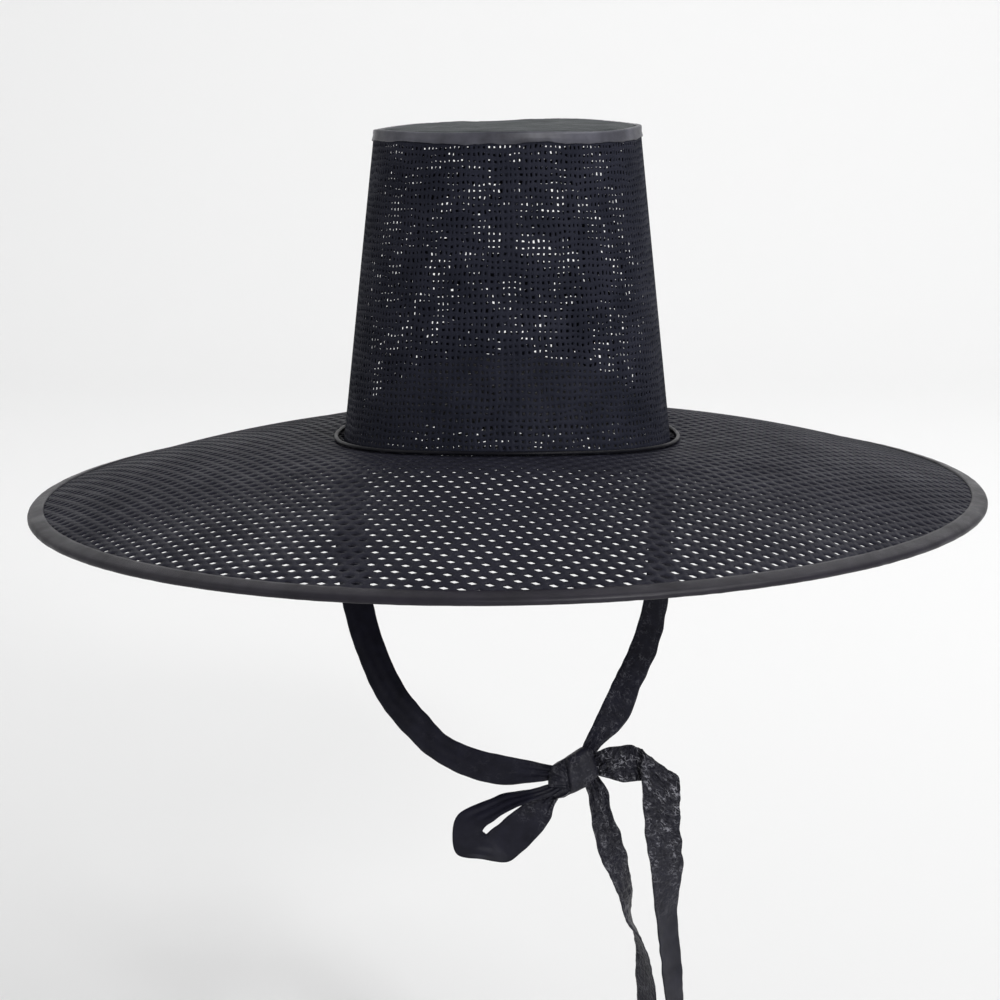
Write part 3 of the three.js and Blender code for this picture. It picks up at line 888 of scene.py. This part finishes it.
def curve_point(points, share):
    """A point on the centripetal Catmull-Rom curve through points."""
    place = share * (len(points) - 1)
    i = min(int(place), len(points) - 2)
    here, there = points[i], points[i + 1]
    before = points[i - 1] if i > 0 else 2 * here - there
    after = points[i + 2] if i + 2 < len(points) else 2 * there - here
    gaps = [math.sqrt((b - a).length) for a, b in ((before, here), (here, there), (there, after))]
    leave = (here - before) / gaps[0] - (there - before) / (gaps[0] + gaps[1]) + (there - here) / gaps[1]
    reach = (there - here) / gaps[1] - (after - here) / (gaps[1] + gaps[2]) + (after - there) / gaps[2]
    leave, reach, t = leave * gaps[1], reach * gaps[1], place - i
    return (
        (2 * t**3 - 3 * t**2 + 1) * here + (t**3 - 2 * t**2 + t) * leave
        + (3 * t**2 - 2 * t**3) * there + (t**3 - t**2) * reach
    )


def ribbon_edges(start, reach, rows):
    near, far = [], []
    for row in rows:
        centre = start + Vector((row.right * reach.x, -row.front * reach.y, -row.drop * reach.z))
        lie, lean = math.radians(row.lie), math.radians(row.lean)
        across = Vector((math.cos(lie) * math.cos(lean), math.sin(lean), math.sin(lie) * math.cos(lean)))
        across *= row.span * RIBBON_WIDTH / 2
        near.append(centre - across)
        far.append(centre + across)
    return near, far


def make_ribbon(name, node, start, reach, rows, crumple, seed, crushed, finish="ribbon_cloth"):
    """Crushed is how strongly the cloth is crushed at the start and the end. Below 0 it is smooth."""
    near, far = ribbon_edges(start, reach, rows)
    steps_across, steps_along = ROW_STEPS, ROW_STEPS * (len(rows) - 1)
    bm = bmesh.new()
    bmesh.ops.create_grid(bm, x_segments=steps_across, y_segments=steps_along, size=0.5)
    strip = bm.loops.layers.uv.new("strip")
    crush = bm.verts.layers.float.new("crushed")
    shares = {vertex: (vertex.co.x + 0.5, vertex.co.y + 0.5) for vertex in bm.verts}
    stations = [i / steps_along for i in range(steps_along + 1)]
    middle = [(curve_point(near, s) + curve_point(far, s)) / 2 for s in stations]
    lengths = [0.0]
    for a, b in zip(middle, middle[1:]):
        lengths.append(lengths[-1] + (b - a).length)
    for vertex, (u, s) in shares.items():
        station = round(s * steps_along)
        travelled = lengths[station]
        lower, upper = curve_point(near, s), curve_point(far, s)
        along = middle[min(steps_along, station + 1)] - middle[max(0, station - 1)]
        across = upper - lower
        out = along.cross(across).normalized()
        amount = max(0.0, crushed[0] + (crushed[1] - crushed[0]) * s * s)
        gathered = max(0.0, 1 - across.length / RIBBON_WIDTH)
        side = 2 * u - 1
        stray = EDGE_STRAY * crumple * abs(side) ** 3
        frayed = noise.noise(Vector((travelled / EDGE_WAVE, seed, side))) * stray
        pleat = PLEAT_DEPTH * gathered * math.sin(PLEATS * math.tau * (u + 0.12 * math.sin(7 * s)))
        place = Vector((u * 1.3 + seed, travelled / WRINKLE_SIZE, seed))
        wrinkle = crumple * (noise.noise(place) + 0.4 * noise.noise(place * 2.7))
        fine_place = Vector((u * 6, travelled / CRINKLE_SIZE, seed))
        crinkle = amount * CRINKLE_DEPTH * noise.noise(fine_place)
        rise = CUP_DEPTH * (1 - side ** 2) + pleat + wrinkle + crinkle
        vertex.co = lower.lerp(upper, u) + out * rise + across.normalized() * side * frayed
        vertex[crush] = amount
    for face in bm.faces:
        for loop in face.loops:
            u, s = shares[loop.vert]
            loop[strip].uv = (u * RIBBON_WIDTH, lengths[round(s * steps_along)])
    piece = finish_piece(name, bm, finish, [node], thickness=RIBBON_WALL, outward=False)
    piece.modifiers["wall"].offset = 0
    print(f"  ribbon {RIBBON_WIDTH / MM:.1f} x {lengths[-1] / MM:.0f} mm")


KNOT_CENTRE = Vector((32 * MM, -86 * MM, -151 * MM))
STRAP_START = Vector((0, 0, -4 * MM))
STRAP_REACH = Vector((80 * MM, -KNOT_CENTRE.y, STRAP_START.z - KNOT_CENTRE.z))
LOOP_REACH = Vector((60 * MM, 60 * MM, 60 * MM))
TAIL_REACH = Vector((50 * MM, 11 * MM, 122 * MM))

# %% [markdown]
# ## The chin straps
# A strap hangs from each side of the crown's foot and runs inwards and forwards to the knot. Simulated
# cloth could hang there by itself, but where these lie is known, and rows placed on that course are
# surer. Each strap faces the front where it hangs, turns towards the knot and is gathered in front of it.

# %% Chin straps
make_ribbon("chin_strap_left", "strap_left", STRAP_START, STRAP_REACH, [
    Row(-1, 0.02, 0, 1, 0, 0),
    Row(-1, 0.09, 0.24, 1, 4, 0),
    Row(-0.945, 0.23, 0.52, 0.98, 18, 0),
    Row(-0.845, 0.41, 0.68, 0.95, 25, 0),
    Row(-0.706, 0.58, 0.81, 0.95, 34, 0),
    Row(-0.562, 0.71, 0.884, 0.95, 49, 0),
    Row(-0.416, 0.81, 0.947, 0.9, 60, 0),
    Row(-0.205, 0.9, 0.988, 0.95, 74, 0),
    Row(-0.036, 0.95, 1.001, 0.97, 90, 0),
    Row(0.144, 0.98, 1.001, 0.7, 100, 0),
    Row(0.3, 1, 1, 0.42, 103, 0),
], crumple=0.25 * MM, seed=1.0, crushed=(0.0, 0.05))
make_ribbon("chin_strap_right", "strap_right", STRAP_START, STRAP_REACH, [
    Row(0.975, 0.02, 0, 0.95, 0, 42),
    Row(0.968, 0.11, 0.26, 0.95, -4, 38),
    Row(0.936, 0.25, 0.52, 0.95, -16, 30),
    Row(0.85, 0.45, 0.66, 0.93, -23, 15),
    Row(0.753, 0.62, 0.743, 0.88, -31, 0),
    Row(0.66, 0.8, 0.824, 0.98, -43, 0),
    Row(0.53, 0.95, 0.9, 0.55, -40, 0),
    Row(0.46, 1, 0.95, 0.4, -36, 0),
], crumple=0.3 * MM, seed=2.0, crushed=(0.1, 0.25))

# %% [markdown]
# ## The half bow's loop
# The ribbon leaves the knot to the left, turns over at the far end and comes back underneath, so the
# loop is one strip and not a tube. Its rows turn the width steadily from one strand to the other, which
# leaves the narrow slit between them open. It is crushed only where it comes back into the knot.

# %% Bow loop
make_ribbon("half_bow_loop", "bow_loop", KNOT_CENTRE, LOOP_REACH, [
    Row(-0.121, 0.04, 0.1, 0.4, 110, 61),
    Row(-0.201, 0.055, 0.129, 0.46, 110, 60),
    Row(-0.362, 0.089, 0.163, 0.65, 141, 67),
    Row(-0.523, 0.097, 0.208, 0.75, 140, 54),
    Row(-0.697, 0.11, 0.294, 0.77, 138, 39),
    Row(-0.83, 0.12, 0.377, 0.93, 156, 16),
    Row(-0.853, 0.11, 0.486, 0.99, 191, 4),
    Row(-0.828, 0.081, 0.577, 1.09, 218, -2),
    Row(-0.725, 0.053, 0.609, 0.83, 257, -7),
    Row(-0.6, 0.027, 0.614, 1.13, 299, -3),
    Row(-0.495, 0.008, 0.539, 1.18, 307, -1),
    Row(-0.382, 0, 0.432, 1.11, 318, 0),
    Row(-0.285, -0.01, 0.329, 0.94, 324, 0),
    Row(-0.216, -0.02, 0.243, 0.62, 316, 0),
    Row(-0.141, -0.03, 0.169, 0.4, 308, 0),
], crumple=0.3 * MM, seed=3.0, crushed=(-0.6, 0.45))

# %% [markdown]
# ## The two tails
# One end of the ribbon leaves the knot to the right, is folded over sharply and hangs down. The
# other hangs straight from the knot. A bend that only turned would pinch the ribbon: in a fold its two
# edges change sides, so here the width turns on from 92 to 144 degrees in two close rows. The folded
# tail is the most crushed cloth of all, and it gets smoother on the way down.

# %% Tails
make_ribbon("folded_tail", "bow_tail", KNOT_CENTRE, TAIL_REACH, [
    Row(0.14, 0.1, -0.04, 0.6, 90, 0),
    Row(0.25, 0.15, -0.042, 0.8, 91, 4),
    Row(0.36, 0.4, -0.046, 1, 92, 12),
    Row(0.512, 0.38, -0.0482, 1.15, 92, 12),
    Row(0.653, 0.25, -0.0441, 1.15, 112, 6),
    Row(0.823, 0.43, -0.0509, 1.37, 144, -3),
    Row(0.836, 0.6, 0.0253, 1.46, 148, -5),
    Row(0.845, 0.6, 0.112, 1.34, 154, -9),
    Row(0.857, 0.55, 0.208, 1.22, 164, -12),
    Row(0.888, 0.45, 0.309, 1.16, 172, -15),
    Row(0.912, 0.32, 0.395, 1.1, 177, -21),
    Row(0.911, 0.25, 0.532, 1, 181, -39),
    Row(0.93, 0.2, 0.646, 1, 180, -49),
    Row(0.972, 0.2, 0.806, 1, 176, -48),
    Row(1.015, 0.2, 1, 1, 174, -56),
], crumple=0.5 * MM, seed=4.0, crushed=(1.0, -0.4), finish="crushed_ribbon")
make_ribbon("hanging_tail", "strap_tail", KNOT_CENTRE, TAIL_REACH, [
    Row(0.16, -0.2, 0.02, 0.45, 12, 0),
    Row(0.23, -0.2, 0.082, 0.62, 12, 0),
    Row(0.28, -0.15, 0.19, 0.7, 14, 20),
    Row(0.38, -0.1, 0.33, 0.9, 18, 25),
    Row(0.48, -0.1, 0.454, 0.92, 10, 56),
    Row(0.53, -0.1, 0.53, 0.95, 6, 67),
    Row(0.55, -0.1, 0.605, 0.95, 4, 80),
    Row(0.64, -0.1, 0.69, 0.95, 4, 103),
    Row(0.69, -0.1, 0.77, 0.95, 4, 112),
    Row(0.71, -0.1, 0.835, 1, 0, 119),
    Row(0.745, -0.1, 1, 1, -2, 127),
], crumple=0.5 * MM, seed=5.0, crushed=(0.35, 0.15), finish="crushed_ribbon")

# %% [markdown]
# ## The knot
# The knot is one turn of ribbon wrapped tightly over the strap, seen as a slanting pad. A ball is given
# the knot's seven-cornered outline by pushing every point out along its own direction. A groove then
# parts the smooth wrap on the right from the bunched strap on the left, whose creases fan out from it.

# %% Knot
KNOT_REACH = 14.5 * MM
KNOT_DEPTH = 5.5 * MM
KNOT_CORNERS = [
    (-0.8, 0.16), (-0.86, -0.52), (-0.59, -0.98), (0.47, -0.46), (0.87, -0.05), (0.72, 0.49), (0.51, 0.99),
]
GROOVE_TOP = Vector((-0.30, 0.56))
GROOVE_FOOT = Vector((-0.12, -0.8))
GROOVE_DEPTH = 1.6 * MM
GROOVE_HALF_WIDTH = 0.07
STRAP_SINK = 0.7 * MM
CREASE_DEPTH = 0.5 * MM
FAN_WAVES = [Wave(1, 26, 0), Wave(0.6, 43, 1)]
FAN_POINT = Vector((0.35, -0.35))
WRAP_SLANT = math.radians(-32)
KNOT_CRUSHED = 0.14


def outline_reach(angle):
    """How far the knot's outline lies from its centre in a direction, in shares of its reach."""
    ray = Vector((math.cos(angle), math.sin(angle)))
    for (ax, ay), (bx, by) in zip(KNOT_CORNERS, KNOT_CORNERS[1:] + KNOT_CORNERS[:1]):
        side = Vector((bx - ax, by - ay))
        turn = ray.x * side.y - ray.y * side.x
        along = (ax * side.y - ay * side.x) / turn if turn else -1
        share = (ax * ray.y - ay * ray.x) / turn if turn else -1
        if along > 0 and 0 <= share <= 1:
            return along
    return 0.0


def soft_outline_reach(angle):
    spread = [-0.2, -0.1, 0.0, 0.1, 0.2]
    return sum(outline_reach(angle + turn) for turn in spread) / len(spread)


def knot_lift(place, groove):
    """How far the knot's face is raised at a place, given in shares of its reach."""
    from_top = place - GROOVE_TOP
    past_groove = from_top.x * -groove.y + from_top.y * groove.x
    on_strap = smooth_step(0.5 - past_groove * 6)
    dent = GROOVE_DEPTH * math.exp(-((past_groove / GROOVE_HALF_WIDTH) ** 2))
    from_fan = place - FAN_POINT
    crease = CREASE_DEPTH * waved(FAN_WAVES, math.atan2(from_fan.y, from_fan.x))
    pull = 0.5 * CREASE_DEPTH * math.sin(14 * past_groove + 3 * place.y)
    return on_strap * (crease - STRAP_SINK) + (1 - on_strap) * pull - dent


def make_knot():
    bm = bmesh.new()
    bmesh.ops.create_icosphere(bm, subdivisions=6, radius=1)
    crush = bm.verts.layers.float.new("crushed")
    groove = (GROOVE_FOOT - GROOVE_TOP).normalized()
    for vertex in bm.verts:
        ball = vertex.co.copy()
        flat = math.hypot(ball.x, ball.z)
        reach = soft_outline_reach(math.atan2(ball.z, ball.x))
        spread = math.sin(math.asin(min(1.0, flat)) ** 0.9 * (math.pi / 2) ** 0.1)
        place = Vector((ball.x, ball.z)) * (reach * spread / max(flat, 1e-6))
        depth = math.copysign(abs(ball.y) ** 0.7, ball.y) * KNOT_DEPTH
        front = 1 if ball.y < 0 else -1
        depth -= front * knot_lift(place, groove) * min(1.0, abs(ball.y) * 3)
        vertex.co = KNOT_CENTRE + Vector((place.x * KNOT_REACH, depth, place.y * KNOT_REACH))
        vertex[crush] = KNOT_CRUSHED
    strip = bm.loops.layers.uv.new("strip")
    slant = Matrix.Rotation(WRAP_SLANT, 2)
    for face in bm.faces:
        for loop in face.loops:
            loop[strip].uv = slant @ Vector((loop.vert.co.x, loop.vert.co.z))
    finish_piece("knot_wrap", bm, "crushed_ribbon", ["strap_knot"])


make_knot()

# %% [markdown]
# ## Floor and light
# The hat is held up at its seat, so the floor lies well below the ribbons. It is one pale sheet that
# curves up behind, so no edge shows. The light is a studio's: bright surroundings, one broad soft light
# above to the right and a weaker one to the left.

# %% Stage
FLOOR_HEIGHT = -0.42
FLOOR_FRONT = -9.0
FLOOR_HALF_WIDTH = 9
WALL_DISTANCE = 4.2
WALL_TOP_EDGE = 6.0
WALL_BEND = 1.2
BEND_STEPS = 16
PAPER = (0.83, 0.83, 0.83)
WORLD_STRENGTH = 0.4
Light = namedtuple("Light", "name place aim size power")
LIGHTS = [
    Light("key", (1.7, -1.0, 1.9), (0, 0, 0), 1.2, 26),
    Light("glint", (0.8, -1.7, 0.75), (0, 0, -0.1), 0.25, 18),
    Light("fill", (-2.2, -0.6, 1.0), (0, 0, 0), 1.2, 7),
    Light("backdrop_right", (1.6, 1.3, 2.6), (0.8, 4.2, 0.3), 2.0, 60),
    Light("backdrop_left", (-1.6, 1.3, 2.6), (-0.8, 4.2, 0.6), 2.0, 32),
]


def make_stage():
    material = bpy.data.materials.new("stage_paper")
    material.use_nodes = True
    shader = material.node_tree.nodes["Principled BSDF"]
    shader.inputs["Base Color"].default_value = (*PAPER, 1)
    shader.inputs["Roughness"].default_value = 0.9
    shader.inputs["Specular IOR Level"].default_value = 0.1
    bm = bmesh.new()
    turns = [math.radians(90 * i / BEND_STEPS) for i in range(BEND_STEPS + 1)]
    curve = [
        (WALL_DISTANCE - WALL_BEND + WALL_BEND * math.sin(turn), WALL_BEND - WALL_BEND * math.cos(turn))
        for turn in turns
    ]
    route = [(FLOOR_FRONT, 0.0), *curve, (WALL_DISTANCE, WALL_TOP_EDGE)]
    verts = [bm.verts.new((-FLOOR_HALF_WIDTH, y, FLOOR_HEIGHT + z)) for y, z in route]
    edges = [bm.edges.new(pair) for pair in zip(verts, verts[1:])]
    swept = bmesh.ops.extrude_edge_only(bm, edges=edges)
    moved = [item for item in swept["geom"] if isinstance(item, bmesh.types.BMVert)]
    bmesh.ops.translate(bm, vec=(2 * FLOOR_HALF_WIDTH, 0, 0), verts=moved)
    for face in bm.faces:
        face.smooth = True
    mesh = bpy.data.meshes.new("floor")
    bm.to_mesh(mesh)
    bm.free()
    mesh.materials.append(material)
    floor = bpy.data.objects.new("floor", mesh)
    scene.collection.objects.link(floor)


def make_light(row):
    data = bpy.data.lights.new(row.name, "AREA")
    data.shape = "SQUARE"
    data.size = row.size
    data.energy = row.power
    light = bpy.data.objects.new(row.name, data)
    light.location = row.place
    light.rotation_euler = (Vector(row.aim) - light.location).to_track_quat("-Z", "Y").to_euler()
    scene.collection.objects.link(light)


make_stage()
world = bpy.data.worlds.new("studio")
world.use_nodes = True
background = world.node_tree.nodes["Background"]
background.inputs["Color"].default_value = (1, 1, 1, 1)
background.inputs["Strength"].default_value = WORLD_STRENGTH
scene.world = world
for row in LIGHTS:
    make_light(row)
print("stage ready, lights:", ", ".join(row.name for row in LIGHTS))
